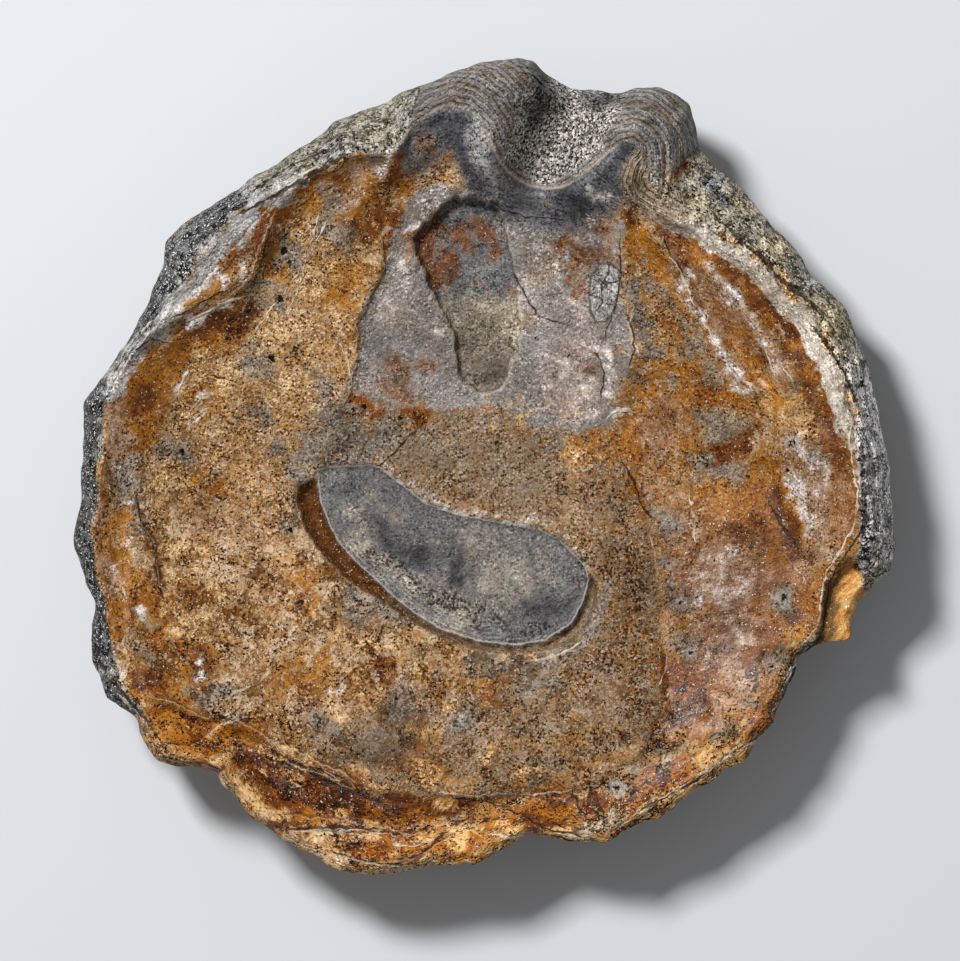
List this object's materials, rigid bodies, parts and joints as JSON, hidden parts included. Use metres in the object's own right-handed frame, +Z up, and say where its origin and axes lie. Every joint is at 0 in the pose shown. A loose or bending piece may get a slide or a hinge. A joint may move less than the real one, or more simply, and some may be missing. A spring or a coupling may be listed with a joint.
{
  "type": "fossil oyster",
  "caption": "Thick cupped valve of a fossil oyster, shown inside up, with a ridged hinge, a muscle scar and a layered, broken edge.",
  "frame": {"origin": "middle of the shell's plan, at the height of the flat face that it rests on", "axes": "+Z up out of the open inside of the valve, +Y towards the hinge, +X to the right seen from above"},
  "size_m": [0.1201, 0.1193, 0.0262],
  "materials": {
    "fossil_shell": "grainy ochre-stained calcite, satin where the inner layers are bare, dull and dark-speckled on the outside"
  },
  "bodies": {
    "root": {"oyster_valve": "fossil_shell"}
  },
  "joints": []
}
